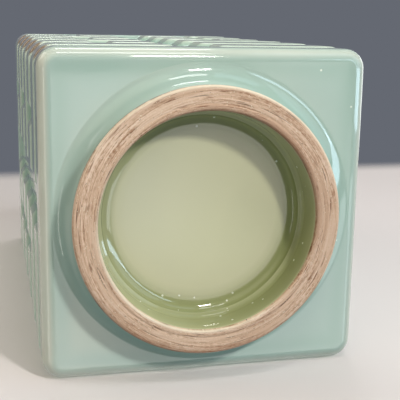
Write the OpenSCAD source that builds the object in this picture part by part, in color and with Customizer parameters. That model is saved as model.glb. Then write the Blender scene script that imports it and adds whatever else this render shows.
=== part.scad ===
// Cong vase: a square slab-built porcelain vase on a round foot, with a round neck.
// Raised trigram bars wrap its four corners. It stands on its foot ring, +Z up, foot rim at z = 0.

/* [Body] */
// Width of the square body across its plain borders
body_w = 132; // [110:1:160]
// Height of the square body, from the base face to the shoulder face
body_h = 238; // [200:1:280]
// Thickness of the wall slabs behind the sunk field
wall_t = 7; // [5:0.5:9]
// Thickness of the base slab and of the shoulder slab
slab_t = 9; // [8:0.5:12]
// Rounding of the four upright corners
corner_r = 8; // [5:0.5:12]
// Rounding of the edges round the base face and the shoulder face
edge_r = 5; // [3:0.5:6]
// Radius of the clay coil pressed into each inner corner
coil_r = 5; // [3:0.5:8]

/* [Trigram relief] */
// Height of the plain border left at each end of the body
border_h = 17; // [14:0.5:24]
// Depth of the sunk field below the border
field_depth = 2.2; // [1.5:0.1:3]
// Height by which the bars stand proud of the border
bar_proud = 0.6; // [0:0.1:1]
// Height of one bar, measured along the body
bar_h = 20; // [14:0.5:24]
// Groove between a border and the bar beside it
border_gap = 4; // [2:0.5:8]
// Extra room between the lower and the upper trigram
tier_gap = 3; // [0:0.5:8]
// Width of the plain channel down the middle of each face, between the tops of the bars
channel_w = 20; // [14:1:36]
// Opening in a broken bar, between the tops of its two lengths
break_w = 8; // [6:0.5:12]
// Length over which the end of a bar slopes down to the field
end_slope = 2.6; // [1:0.1:3]
// Rounding of the long edges of a bar
bar_edge_r = 1.8; // [0.8:0.1:2]

/* [Foot] */
// Distance from the side of the body in to the foot ring
foot_inset = 13.5; // [10:0.5:18]
// Width of the rim, from the outside of the foot ring to its bore
rim_w = 8.5; // [6:0.5:11]
// Height of the foot ring, from its rim to the base face
foot_h = 14; // [9:0.5:20]
// How much the bore of the foot ring narrows up to the base face, on the radius
bore_taper = 1.5; // [0:0.1:3]
// Rounding of the two edges of the rim
rim_r = 1.4; // [0.5:0.1:2.5]
// Depth of the dish cut into the base slab inside the foot ring
dish_depth = 3.5; // [2:0.5:5]
// Distance from the bore, at the rim, in to the flat floor of the recess
floor_inset = 7; // [6:0.5:12]

/* [Neck] */
// Outer diameter of the neck
neck_d = 88; // [70:1:104]
// Thickness of the neck
neck_wall = 6; // [4:0.5:8]
// Height of the neck above the shoulder face
neck_h = 28; // [18:0.5:40]
// Radius of the flare that runs the neck into the shoulder face
neck_flare_r = 5; // [2:0.5:8]

/* [Hidden] */
$fn = 96;
// Heights of the slab joints and of the whole body
base_z = foot_h;
base_top_z = base_z + slab_t;
body_top_z = base_z + body_h;
shoulder_z = body_top_z - slab_t;
// Sunk field between the two borders
field_z = base_z + border_h;
field_top_z = body_top_z - border_h;
field_w = body_w - 2 * field_depth;
field_corner_r = corner_r - field_depth;
// Foot ring, its flare as wide as the flat of the base face beside it, and the recess inside it
foot_d = body_w - 2 * foot_inset;
foot_bore_d = foot_d - 2 * rim_w;
foot_flare_r = foot_inset - edge_r;
recess_floor_d = foot_bore_d - 2 * floor_inset;
// Inside of the body
inner_w = field_w - 2 * wall_t;
neck_bore_d = neck_d - 2 * neck_wall;
// Bars: two tiers of three, evenly spaced, with tier_gap added between the tiers
TIERS = ["lower", "upper"];
BARS = 3;
bar_count = len(TIERS) * BARS;
bar_t = field_depth + bar_proud;
first_bar_z = field_z + border_gap + bar_h / 2;
last_bar_z = field_top_z - border_gap - bar_h / 2;
bar_pitch = (last_bar_z - first_bar_z - tier_gap) / (bar_count - 1);
leg_start = body_w / 2 - corner_r;
leg_end = channel_w / 2;
leg_middle = (leg_start + leg_end) / 2;
// Room for a cut that passes right through what it cuts
through = 1;
// Thickness left at the thin edge of a flare
feather = 0.4;

// The sides and the corners of the square body, in order round it
SIDES = ["front", "right", "back", "left"];
CORNERS = ["front_left", "front_right", "back_right", "back_left"];
// The eight trigrams, read from the foot up: true is an unbroken bar, false a broken one
FIRE = [true, false, true];
WATER = [false, true, false];
HEAVEN = [true, true, true];
EARTH = [false, false, false];
THUNDER = [true, false, false];
WIND = [false, true, true];
LAKE = [true, true, false];
MOUNTAIN = [false, false, true];
// The lower and the upper trigram of each corner, in the order of the corners
PAIRS = [[FIRE, WATER], [HEAVEN, EARTH], [THUNDER, WIND], [LAKE, MOUNTAIN]];

NODES = [
    "foot_ring", "base_slab",
    "front_wall", "right_wall", "back_wall", "left_wall",
    "front_left_seam_coil", "front_right_seam_coil", "back_right_seam_coil", "back_left_seam_coil",
    "shoulder_slab", "neck",
    "front_left_lower_trigram", "front_left_upper_trigram",
    "front_right_lower_trigram", "front_right_upper_trigram",
    "back_right_lower_trigram", "back_right_upper_trigram",
    "back_left_lower_trigram", "back_left_upper_trigram"
];
node = "all";

// Carries a piece made on the first of the named places round the body to another of them
module turned(place, places) {
    for (i = [0 : len(places) - 1])
        if (places[i] == place)
            rotate([0, 0, i * 360 / len(places)])
                children();
}

// Square outline with rounded corners, centred
module rounded_square(w, r) {
    square([w - 2 * r, w], center = true);
    square([w, w - 2 * r], center = true);
    for (x = [-1, 1], y = [-1, 1])
        translate([x * (w / 2 - r), y * (w / 2 - r)])
            circle(r);
}

// Side view of a slab whose two lower edges are rounded, standing on the x axis
module slab_side(w, t, r) {
    translate([-w / 2, r])
        square([w, t - r]);
    translate([-w / 2 + r, 0])
        square([w - 2 * r, t]);
    for (x = [-1, 1])
        translate([x * (w / 2 - r), r])
            circle(r);
}

// Side view of the slab drawn out along y, or along x after a quarter turn
module slab_bar(turn) {
    rotate([90, 0, turn])
        linear_extrude(2 * body_w, center = true)
            slab_side(body_w, slab_t, edge_r);
}

// Square slab with rounded corners and a rounded lower edge all round, its lower face at z = 0
module edged_slab() {
    intersection() {
        linear_extrude(slab_t)
            rounded_square(body_w, corner_r);
        slab_bar(0);
        slab_bar(90);
    }
}

// Concave flare in a half section: it leaves the wall at radius x and thins out to feather on the line y = 0
module flare_section(x, r) {
    difference() {
        translate([x - feather, 0])
            square([r + feather, r + feather]);
        translate([x + r, r + feather])
            circle(r);
    }
}

// Half section of the foot ring, its rim on the x axis
module foot_section() {
    rim_out = foot_d / 2;
    rim_in = foot_bore_d / 2;
    polygon([
        [rim_in, rim_r], [rim_in + rim_r, 0], [rim_out - rim_r, 0], [rim_out, rim_r],
        [rim_out, foot_h], [rim_in - bore_taper, foot_h]
    ]);
    for (x = [rim_in + rim_r, rim_out - rim_r])
        translate([x, rim_r])
            circle(rim_r);
    translate([0, foot_h])
        mirror([0, 1])
            flare_section(rim_out, foot_flare_r);
}

// Half section of the neck: a flare at the shoulder and a full round at the lip
module neck_section() {
    outer_r = neck_d / 2;
    translate([outer_r - neck_wall, 0])
        square([neck_wall, neck_h - neck_wall / 2]);
    translate([outer_r - neck_wall / 2, neck_h - neck_wall / 2])
        circle(neck_wall / 2);
    flare_section(outer_r, neck_flare_r);
}

// Dish cut into the lower face of the base slab: a flat floor with a rounded edge
module recess_dish() {
    floor_r = recess_floor_d / 2;
    rotate_extrude() {
        translate([0, -through])
            square([floor_r, dish_depth + through]);
        intersection() {
            translate([floor_r, 0])
                circle(dish_depth);
            translate([floor_r, -through])
                square([dish_depth, dish_depth + through]);
        }
    }
}

module foot_ring() {
    color("tan")
        rotate_extrude()
            foot_section();
}

module base_slab() {
    color("paleturquoise")
        translate([0, 0, base_z])
            difference() {
                edged_slab();
                recess_dish();
            }
}

module shoulder_slab() {
    color("paleturquoise")
        translate([0, 0, body_top_z])
            mirror([0, 0, 1])
                difference() {
                    edged_slab();
                    translate([0, 0, -through])
                        cylinder(h = slab_t + 2 * through, d = neck_bore_d);
                }
}

module neck() {
    color("paleturquoise")
        translate([0, 0, body_top_z])
            rotate_extrude()
                neck_section();
}

// One height of a wall slab, cut to the mitres: the quarter of a square ring that faces the front
module wall_course(w, r, z_from, z_to) {
    translate([0, 0, z_from])
        linear_extrude(z_to - z_from)
            difference() {
                intersection() {
                    rounded_square(w, r);
                    polygon([[0, 0], [-body_w, -body_w], [body_w, -body_w]]);
                }
                square(inner_w, center = true);
            }
}

// Wall slab with its field sunk between the two borders, on one side of the body
module wall(side) {
    color("powderblue")
        turned(side, SIDES) {
            wall_course(body_w, corner_r, base_top_z, field_z);
            wall_course(field_w, field_corner_r, field_z, field_top_z);
            wall_course(body_w, corner_r, field_top_z, shoulder_z);
        }
}

// Quarter-round coil that closes the seam of two walls from the inside
module seam_coil(corner) {
    color("lightsteelblue")
        turned(corner, CORNERS)
            translate([-inner_w / 2, -inner_w / 2, base_top_z])
                linear_extrude(shoulder_z - base_top_z)
                    intersection() {
                        circle(coil_r);
                        square(coil_r);
                    }
}

// Cross section of a bar: x runs out of the field, y along the body
module bar_section() {
    translate([0, -bar_h / 2])
        square([bar_t - bar_edge_r, bar_h]);
    translate([0, -bar_h / 2 + bar_edge_r])
        square([bar_t, bar_h - 2 * bar_edge_r]);
    for (y = [-1, 1])
        translate([bar_t - bar_edge_r, y * (bar_h / 2 - bar_edge_r)])
            circle(bar_edge_r);
}

// Straight length of bar on the front face, from one x to another, with sloping ends where asked
module bar_length(x_from, x_to, slope_from, slope_to) {
    foot_from = slope_from ? x_from - end_slope : x_from;
    foot_to = slope_to ? x_to + end_slope : x_to;
    intersection() {
        translate([foot_to, -field_w / 2, 0])
            rotate([90, 0, -90])
                linear_extrude(foot_to - foot_from)
                    bar_section();
        linear_extrude(2 * bar_h, center = true)
            polygon([
                [foot_from, -field_w / 2], [x_from, -field_w / 2 - bar_t],
                [x_to, -field_w / 2 - bar_t], [foot_to, -field_w / 2]
            ]);
    }
}

// Quarter turn of a bar round the front-left corner
module bar_corner() {
    translate([-leg_start, -leg_start])
        rotate([0, 0, 180])
            rotate_extrude(angle = 90)
                translate([field_corner_r, 0])
                    bar_section();
}

// Half of a bar on the front face, from the corner towards the channel, whole or broken
module bar_leg(whole) {
    if (whole) {
        bar_length(-leg_start, -leg_end, false, true);
    } else {
        bar_length(-leg_start, -leg_middle - break_w / 2, false, true);
        bar_length(-leg_middle + break_w / 2, -leg_end, true, true);
    }
}

// Bar wrapped round the front-left corner, with the same lengths on both faces
module corner_bar(whole) {
    bar_corner();
    bar_leg(whole);
    mirror([1, -1, 0])
        bar_leg(whole);
}

// Three bars of one trigram on one corner: tier 0 is the lower one, tier 1 the upper one
module trigram(bars, tier, corner) {
    color("lightcyan")
        turned(corner, CORNERS)
            for (i = [0 : BARS - 1])
                translate([0, 0, first_bar_z + (tier * BARS + i) * bar_pitch + tier * tier_gap])
                    corner_bar(bars[i]);
}

function shown(name) = node == "all" || node == name;

if (shown("foot_ring")) foot_ring();
if (shown("base_slab")) base_slab();
for (side = SIDES)
    if (shown(str(side, "_wall"))) wall(side);
for (corner = CORNERS)
    if (shown(str(corner, "_seam_coil"))) seam_coil(corner);
if (shown("shoulder_slab")) shoulder_slab();
if (shown("neck")) neck();
for (c = [0 : len(CORNERS) - 1], tier = [0 : len(TIERS) - 1])
    if (shown(str(CORNERS[c], "_", TIERS[tier], "_trigram"))) trigram(PAIRS[c][tier], tier, CORNERS[c]);
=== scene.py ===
"""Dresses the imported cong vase: its glazed porcelain pieces, a plain studio and the photograph's camera.

Lengths of the vase are in millimetres until a mesh is made, and heights run up from the foot rim. Lamps
and floors are in metres. A distance along the outline of the body starts at the middle of the front face and
runs round past the right face. Angles that are fields of a class are in degrees.
"""

from __future__ import annotations

import logging
import math
from collections.abc import Callable, Sequence
from dataclasses import dataclass, field, replace
from enum import Enum
from functools import partial

import bpy
import numpy as np
from mathutils import Matrix, Vector


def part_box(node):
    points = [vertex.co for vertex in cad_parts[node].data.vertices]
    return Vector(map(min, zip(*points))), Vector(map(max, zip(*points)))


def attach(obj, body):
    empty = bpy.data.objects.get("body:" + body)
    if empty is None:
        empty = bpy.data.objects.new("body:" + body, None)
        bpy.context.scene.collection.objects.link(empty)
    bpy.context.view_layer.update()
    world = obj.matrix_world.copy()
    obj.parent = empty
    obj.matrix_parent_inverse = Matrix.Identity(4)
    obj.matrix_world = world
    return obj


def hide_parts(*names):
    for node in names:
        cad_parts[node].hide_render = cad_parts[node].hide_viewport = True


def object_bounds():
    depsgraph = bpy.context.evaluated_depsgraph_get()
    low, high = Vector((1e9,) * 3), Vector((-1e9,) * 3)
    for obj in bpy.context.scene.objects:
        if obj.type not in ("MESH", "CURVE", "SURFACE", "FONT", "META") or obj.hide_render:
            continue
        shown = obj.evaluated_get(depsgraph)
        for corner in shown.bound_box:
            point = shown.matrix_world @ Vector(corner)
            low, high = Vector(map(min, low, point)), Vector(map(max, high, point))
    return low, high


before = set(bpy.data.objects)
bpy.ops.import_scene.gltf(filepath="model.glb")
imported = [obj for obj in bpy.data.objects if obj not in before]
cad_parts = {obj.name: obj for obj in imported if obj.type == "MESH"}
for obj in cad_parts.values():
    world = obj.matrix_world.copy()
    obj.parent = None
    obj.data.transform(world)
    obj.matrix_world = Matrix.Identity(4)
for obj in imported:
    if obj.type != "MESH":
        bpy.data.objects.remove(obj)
CAD_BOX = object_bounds()

LOG = logging.getLogger("cong_vase")
BODY = "root"
MM = 0.001

# Attributes of a mesh that the finishes read.
# The depth attribute holds the glaze's depth with painted shade and light worked into it; on bare clay it
# holds the cream line of the rim's edges with its painted highlight and painted shadow line.
DEPTH_AND_SHADING = "glaze_depth"
TURNING = "turning"

# Depths of the glaze: worn off, the thinnest that covers, the common one and the deepest pool.
WORN_OFF = 0.0
THINNEST = 0.16
EVEN = 0.5
DEEPEST = 1.0

# Steps over which the slope of a surface is taken: along a section, along an outline, round a thrown piece.
SECTION_STEP = 0.05
OUTLINE_STEP = 0.02
TURN_STEP = 0.002

# Colours of light.
WHITE = (1.0, 1.0, 1.0)
SKY = (0.64, 0.85, 1.0)
WARM = (1.0, 0.96, 0.89)
AMBER = (1.0, 0.93, 0.70)

Array = np.ndarray
Surface = Callable[[Array, Array], Array]
Colour = tuple[float, float, float]
Point = tuple[float, float, float]
Socket = bpy.types.NodeSocket


def ease(share: Array) -> Array:
    """Smooth rise from 0 to 1 as share goes from 0 to 1."""
    t = np.clip(share, 0.0, 1.0)
    return t * t * t * (t * (6.0 * t - 15.0) + 10.0)


def bell(off: Array, width: float) -> Array:
    """Bell of height 1 where off is 0, of about that half width."""
    return np.exp(-((off / width) ** 2))


def turned(x: Array, y: Array, quarters: Array) -> tuple[Array, Array]:
    """Turns points round the middle of the vase by a number of quarter turns."""
    turn = quarters * math.pi / 2
    return x * np.cos(turn) - y * np.sin(turn), x * np.sin(turn) + y * np.cos(turn)


def linear(red: int, green: int, blue: int) -> Colour:
    """Scene-linear colour of an 8-bit screen colour."""
    shares = (red / 255, green / 255, blue / 255)
    return tuple(c / 12.92 if c <= 0.04045 else ((c + 0.055) / 1.055) ** 2.4 for c in shares)


@dataclass(frozen=True)
class Spacing:
    """How far apart sample lines are: away from bends, beside them, and how far to each side of a bend."""

    step: float
    fine: float
    reach: float
    trials: int = 4001

    def lines(self, low: float, high: float, bends: Sequence[float]) -> Array:
        """Spaces sample lines over a range, closer together beside the bends.

        Args:
            low: Start of the range.
            high: End of the range.
            bends: Where the surface bends.

        Returns:
            The places of the lines, both ends included.
        """
        dense = np.linspace(low, high, self.trials)
        rate = np.full_like(dense, 1.0 / self.step)
        for bend in bends:
            rate = np.maximum(rate, np.where(np.abs(dense - bend) < self.reach, 1.0 / self.fine, 0.0))
        count = np.concatenate([[0.0], np.cumsum((rate[1:] + rate[:-1]) / 2 * np.diff(dense))])
        lines = max(2, math.ceil(count[-1]) + 1)
        return np.interp(np.linspace(0.0, count[-1], lines), count, dense)


class Corner(Enum):
    """Corners of the body, as the number of sides round from the front-left one."""

    FRONT_LEFT = 0
    FRONT_RIGHT = 1
    BACK_RIGHT = 2
    BACK_LEFT = 3


class Side(Enum):
    """Sides of the body, as the number of sides round from the front."""

    FRONT = 0
    RIGHT = 1
    BACK = 2
    LEFT = 3


class Tier(Enum):
    """Tiers of trigrams, counted up from the foot."""

    LOWER = 0
    UPPER = 1


class Trigram(Enum):
    """The eight trigrams, read from the foot up: True is an unbroken bar, False a broken one."""

    FIRE = (True, False, True)
    WATER = (False, True, False)
    HEAVEN = (True, True, True)
    EARTH = (False, False, False)
    THUNDER = (True, False, False)
    WIND = (False, True, True)
    LAKE = (True, True, False)
    MOUNTAIN = (False, False, True)


class Pick(Enum):
    """Which cells of a pattern hold a dot: those with a chance below a limit, or those above it."""

    BELOW = "LESS_THAN"
    ABOVE = "GREATER_THAN"


@dataclass(frozen=True)
class Body:
    """Sizes of the square body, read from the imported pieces, with its roundings."""

    half_w: float
    base_z: float
    base_top_z: float
    shoulder_z: float
    top_z: float
    total_h: float
    inner_half: float
    corner_r: float = 8.0
    edge_r: float = 5.0

    @classmethod
    def from_frame(cls) -> Body:
        """Reads the sizes off the base slab, the shoulder slab, the neck and a coil.

        Returns:
            The body.
        """
        base_low, base_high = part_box("base_slab")
        shoulder_low, shoulder_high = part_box("shoulder_slab")
        return cls(half_w=base_high.x / MM, base_z=base_low.z / MM, base_top_z=base_high.z / MM,
                   shoulder_z=shoulder_low.z / MM, top_z=shoulder_high.z / MM,
                   total_h=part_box("neck")[1].z / MM,
                   inner_half=-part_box("front_left_seam_coil")[0].x / MM)

    @property
    def leg(self) -> float:
        """Half the straight part of a side."""
        return self.half_w - self.corner_r

    @property
    def quarter(self) -> float:
        """Length of the outline from the middle of one corner to the next."""
        return 2 * self.leg + self.corner_r * math.pi / 2

    def outline(self, along: Array, offset: Array) -> tuple[Array, Array]:
        """Places points on the outline of the body.

        Args:
            along: Distance along the outline.
            offset: Distance out from the outline, negative towards the middle.

        Returns:
            The x and the y of the points.
        """
        sides = np.round(along / self.quarter)
        local = along - sides * self.quarter
        bend = np.sign(local) * np.clip(np.abs(local) - self.leg, 0.0, None) / self.corner_r
        reach = self.corner_r + offset
        x = np.clip(local, -self.leg, self.leg) + reach * np.sin(bend)
        y = -self.leg - reach * np.cos(bend)
        return turned(x, y, sides)

    def corner_at(self, corner: Corner) -> float:
        """Distance along the outline at which a corner has its middle."""
        return (corner.value - 0.5) * self.quarter


@dataclass(frozen=True)
class HandForming:
    """The slight unevenness of hand building and firing: a smooth shift of every point of the vase."""

    body: Body
    seed: int = 7
    waves: int = 14
    shortest: float = 42.0
    longest: float = 150.0
    most: float = 0.22
    calm_end: float = 9.0
    foot_shift: Point = (-1.9, 0.2, 0.0)
    foot_r: float = 53.0
    shift_end_r: float = 65.0

    def __call__(self, x: Array, y: Array, z: Array) -> Array:
        """Shifts points, with the rim and the lip left true and the foot set a little off the middle.

        Args:
            x: Widths of the points.
            y: Depths of the points.
            z: Heights of the points.

        Returns:
            The shifted points, stacked on a last axis.
        """
        random = np.random.default_rng(self.seed)
        points = np.stack(np.broadcast_arrays(x, y, z), axis=-1).astype(float)
        lengths = np.linspace(self.shortest, self.longest, self.waves)
        across = random.normal(size=(self.waves, 3))
        across *= (2 * math.pi / lengths / np.linalg.norm(across, axis=1))[:, None]
        shift = random.normal(size=(self.waves, 3))
        shift *= (lengths / np.linalg.norm(shift, axis=1))[:, None]
        shift *= self.most / np.abs(shift).sum(axis=0)
        calm = ease(points[..., 2] / self.calm_end)
        calm = calm * ease((self.body.total_h - points[..., 2]) / self.calm_end)
        phase = points @ across.T + random.uniform(0.0, 2 * math.pi, self.waves)
        radius = np.hypot(points[..., 0], points[..., 1])
        near_foot = 1 - ease((radius - self.foot_r) / (self.shift_end_r - self.foot_r))
        near_foot = near_foot * (1 - ease((points[..., 2] - self.body.base_z) / self.calm_end))
        wavy = points + calm[..., None] * (np.sin(phase) @ shift)
        return wavy + near_foot[..., None] * np.array(self.foot_shift)


@dataclass(frozen=True)
class Loft:
    """A closed skin laid over rows of points, each a closed loop. A ring's rows are a closed loop too.

    The depth of its glaze and the number of its finish are told once, for each row or for each point.
    """

    points: Array
    normals: Array
    depth: Array
    finish: Array
    ring: bool

    def spread(self, values: Array) -> Array:
        """Values for every point of the skin."""
        return np.broadcast_to(values, self.points.shape[:2])

    def faces(self, first: int) -> tuple[list[list[int]], list[int]]:
        """Lists the faces of the skin.

        Args:
            first: Number of the first point among the points of the whole mesh.

        Returns:
            The corner numbers of every face, and the finish of every face.
        """
        rows, loop = self.points.shape[:2]
        number = first + np.arange(rows * loop).reshape(rows, loop)
        below = number if self.ring else number[:-1]
        above = np.roll(number, -1, axis=0) if self.ring else number[1:]
        quads = np.stack([below, above, np.roll(above, -1, axis=1), np.roll(below, -1, axis=1)], axis=-1)
        faces = quads.reshape(-1, 4).tolist()
        spread = self.spread(self.finish)
        finish = spread[: len(below)].reshape(-1).tolist()
        if not self.ring:
            faces += [number[0].tolist(), number[-1][::-1].tolist()]
            finish += [int(spread[0, 0]), int(spread[-1, 0])]
        return faces, finish


def sample(surface: Surface, rows: Array, loop: Array, row_step: float,
           loop_step: float) -> tuple[Array, Array]:
    """Takes points and normals off a surface.

    Args:
        surface: Gives points from two distances.
        rows: First distances, one for each row of points.
        loop: Second distances, one for each point of a row.
        row_step: Small first distance over which the slope is taken.
        loop_step: Small second distance over which the slope is taken.

    Returns:
        The points and the unit normals, both rows by loop by 3.
    """
    u, v = np.meshgrid(rows, loop, indexing="ij")
    down = surface(u + row_step, v) - surface(u - row_step, v)
    along = surface(u, v + loop_step) - surface(u, v - loop_step)
    normals = np.cross(down, along)
    normals /= np.linalg.norm(normals, axis=-1, keepdims=True)
    return surface(u, v), normals


class Profile:
    """A half section drawn as one run of lines and arcs, in radius and height."""

    SPACING = 0.02

    def __init__(self, radius: float, height: float) -> None:
        """Starts the run at a point."""
        self.run = [(radius, height)]
        self.marks: dict[str, float] = {}

    def line(self, radius: float, height: float) -> Profile:
        """Draws a straight stretch.

        Args:
            radius: Radius of its end.
            height: Height of its end.

        Returns:
            The profile itself.
        """
        start = np.array(self.run[-1])
        end = np.array((radius, height))
        steps = max(2, math.ceil(float(np.linalg.norm(end - start)) / self.SPACING))
        self.run += [tuple(start + (end - start) * i / steps) for i in range(1, steps + 1)]
        return self

    def arc(self, centre: tuple[float, float], radii: tuple[float, float], start: float,
            end: float) -> Profile:
        """Draws a line to the start of an arc of an ellipse, then the arc.

        Args:
            centre: Middle of the ellipse.
            radii: Its half width and half height.
            start: Angle of the start in degrees, from straight out, turning up.
            end: Angle of the end.

        Returns:
            The profile itself.
        """
        steps = max(4, math.ceil(math.radians(abs(end - start)) * max(radii) / self.SPACING))
        angles = np.radians(np.linspace(start, end, steps + 1))
        places = [(centre[0] + radii[0] * math.cos(a), centre[1] + radii[1] * math.sin(a)) for a in angles]
        self.line(*places[0])
        self.run += places[1:]
        return self

    def bend(self, centre: tuple[float, float], radius: float, start: float, end: float,
             name: str) -> Profile:
        """Draws a round bend and marks its middle.

        Args:
            centre: Middle of the circle.
            radius: Its radius.
            start: Angle of the start, as for an arc.
            end: Angle of the end.
            name: Name of the mark.

        Returns:
            The profile itself.
        """
        middle = (start + end) / 2
        self.arc(centre, (radius, radius), start, middle).mark(name)
        return self.arc(centre, (radius, radius), middle, end)

    def mark(self, name: str) -> Profile:
        """Notes the length drawn so far under a name."""
        self.marks[name] = self.length
        return self

    @property
    def length(self) -> float:
        """Length of the whole run."""
        return self.lengths()[-1]

    def lengths(self) -> Array:
        """Length of the run at each of its points."""
        steps = np.linalg.norm(np.diff(np.array(self.run), axis=0), axis=1)
        return np.concatenate([[0.0], np.cumsum(steps)])

    def at(self, along: Array) -> tuple[Array, Array]:
        """Reads the run.

        Args:
            along: Lengths along it.

        Returns:
            The radius and the height at those lengths.
        """
        lengths = self.lengths()
        radii, heights = np.array(self.run).T
        return np.interp(along, lengths, radii), np.interp(along, lengths, heights)


class Graph:
    """Shorthand for building a node tree."""

    MIX_INPUTS = (0, 6, 7)
    MIX_RESULT = 2

    def __init__(self, tree: bpy.types.NodeTree) -> None:
        """Empties a tree and keeps it."""
        self.tree = tree
        tree.nodes.clear()

    def put(self, value: object, socket: Socket) -> None:
        """Gives an input its value, or links a socket to it.

        Args:
            value: A plain value or a socket.
            socket: The input.
        """
        if isinstance(value, Socket):
            self.tree.links.new(value, socket)
        else:
            socket.default_value = value

    def add(self, kind: str, inputs: dict | None = None, **settings: object) -> bpy.types.Node:
        """Adds a node.

        Args:
            kind: Type of the node, without its ShaderNode prefix.
            inputs: Values or sockets for its inputs, by name or number.
            settings: Properties of the node.

        Returns:
            The new node.
        """
        node = self.tree.nodes.new("ShaderNode" + kind)
        for name, value in settings.items():
            setattr(node, name, value)
        for name, value in (inputs or {}).items():
            self.put(value, node.inputs[name])
        return node

    def math(self, operation: str, *values: object) -> Socket:
        """Adds a sum on one to three values or sockets and gives its result."""
        return self.add("Math", dict(enumerate(values)), operation=operation).outputs[0]

    def clamp(self, value: Socket) -> Socket:
        """Adds a clamp to the range from 0 to 1 and gives its result."""
        return self.add("Clamp", {0: value}).outputs[0]

    def noise(self, vector: Socket, scale: float, detail: float) -> Socket:
        """Adds a noise texture and gives its value."""
        return self.add("TexNoise", {"Vector": vector, "Scale": scale, "Detail": detail}).outputs["Fac"]

    def ramp(self, factor: Socket, stops: Sequence[tuple[float, Colour]]) -> Socket:
        """Adds a colour ramp.

        Args:
            factor: Where on the ramp to read.
            stops: Places and colours of its stops.

        Returns:
            The colour.
        """
        node = self.add("ValToRGB", {"Fac": factor})
        while len(node.color_ramp.elements) < len(stops):
            node.color_ramp.elements.new(1.0)
        for element, (place, colour) in zip(node.color_ramp.elements, stops):
            element.position = place
            element.color = (*colour, 1.0)
        return node.outputs["Color"]

    def mix(self, factor: object, first: Socket | Colour, second: Colour) -> Socket:
        """Adds a mix of two colours.

        Args:
            factor: Share of the second colour.
            first: A colour or a socket with one.
            second: The other colour.

        Returns:
            The mixed colour.
        """
        node = self.add("Mix", data_type="RGBA")
        ground = first if isinstance(first, Socket) else (*first, 1.0)
        for number, value in zip(self.MIX_INPUTS, (factor, ground, (*second, 1.0))):
            self.put(value, node.inputs[number])
        return node.outputs[self.MIX_RESULT]

    def fired(self, colour: Socket, roughness: float, bump: bpy.types.Node) -> None:
        """Ends the tree with a ceramic surface.

        Args:
            colour: Its colour.
            roughness: How matt it is.
            bump: Its fine relief.
        """
        shader = self.add("BsdfPrincipled", {"Base Color": colour, "Roughness": roughness,
                                             "Normal": bump.outputs[0]})
        self.add("OutputMaterial", {"Surface": shader.outputs[0]})


def new_material(name: str) -> tuple[bpy.types.Material, Graph]:
    """Starts a material.

    Args:
        name: Its name.

    Returns:
        The material and its emptied node tree.
    """
    material = bpy.data.materials.new(name)
    material.use_nodes = True
    return material, Graph(material.node_tree)


@dataclass(frozen=True)
class Dots:
    """Small round dots in a glaze: how close their cells lie, which hold one, and how it looks."""

    scale: float
    pick: Pick
    limit: float
    size: float
    strength: float
    colour: Colour

    def share(self, graph: Graph, place: Socket) -> Socket:
        """Adds the dots to a tree.

        Args:
            graph: The tree.
            place: Place on the piece.

        Returns:
            The share of the dots' colour there.
        """
        cells = graph.add("TexVoronoi", {"Vector": place, "Scale": self.scale})
        chance = graph.add("SeparateColor", {0: cells.outputs["Color"]}).outputs[0]
        picked = graph.math(self.pick.value, chance, self.limit)
        round_dot = graph.math("LESS_THAN", cells.outputs["Distance"], self.size)
        return graph.math("MULTIPLY", graph.math("MULTIPLY", picked, round_dot), self.strength)


@dataclass(frozen=True)
class Glaze:
    """Glassy celadon glaze: pale where it runs thin, deeper where it pools, brown where it is worn off.

    Its depth is clouded a little, brown specks lie in it, and near-white dots where it is thick are painted
    glints.
    """

    name: str
    thin: Colour
    full: Colour
    pooled: Colour
    worn: Colour = linear(138, 120, 101)
    roughness: float = 0.06
    cloud: float = 0.16
    cloud_scale: float = 26.0
    cloud_detail: float = 3.0
    peel: float = 0.000012
    peel_scale: float = 110.0
    peel_detail: float = 1.0
    specks: Dots = Dots(95.0, Pick.BELOW, 0.07, 0.035, 0.45, linear(120, 96, 66))
    # Near-white dots where the glaze is thick: painted glints.
    painted_glints: Dots = Dots(300.0, Pick.ABOVE, 0.7, 0.14, 0.7, linear(240, 243, 228))
    glint_depth: float = 0.635

    def material(self) -> bpy.types.Material:
        """Makes the material.

        Returns:
            The material.
        """
        material, graph = new_material(self.name)
        place = graph.add("TexCoord").outputs["Object"]
        depth = graph.add("Attribute", attribute_name=DEPTH_AND_SHADING).outputs["Fac"]
        clouds = graph.noise(place, self.cloud_scale, self.cloud_detail)
        laid = graph.math("ADD", depth, graph.math("MULTIPLY_ADD", clouds, self.cloud, -self.cloud / 2))
        colour = graph.ramp(laid, [(WORN_OFF, self.worn), (THINNEST, self.thin), (EVEN, self.full),
                                   (DEEPEST, self.pooled)])
        specked = graph.mix(self.specks.share(graph, place), colour, self.specks.colour)
        # Painted glints: near-white dots laid where the glaze lies thick.
        thick = graph.math("GREATER_THAN", laid, self.glint_depth)
        glint_share = graph.math("MULTIPLY", self.painted_glints.share(graph, place), thick)
        glinted = graph.mix(glint_share, specked, self.painted_glints.colour)
        peel = graph.noise(place, self.peel_scale, self.peel_detail)
        bump = graph.add("Bump", {"Height": peel, "Distance": self.peel, "Strength": 1.0})
        graph.fired(glinted, self.roughness, bump)
        return material


@dataclass(frozen=True)
class Streaks:
    """A noise drawn out along the turning: how fine it is across the rim and round it, and its detail."""

    across: float
    around: float
    detail: float

    def value(self, graph: Graph, turning: Socket) -> Socket:
        """Adds the noise to a tree.

        Args:
            graph: The tree.
            turning: Distance and direction from the middle of the foot.

        Returns:
            The value of the noise.
        """
        scale = (self.across, self.around, self.around)
        stretched = graph.add("Mapping", {"Vector": turning, "Scale": scale})
        return graph.noise(stretched.outputs[0], 1.0, self.detail)


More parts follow.
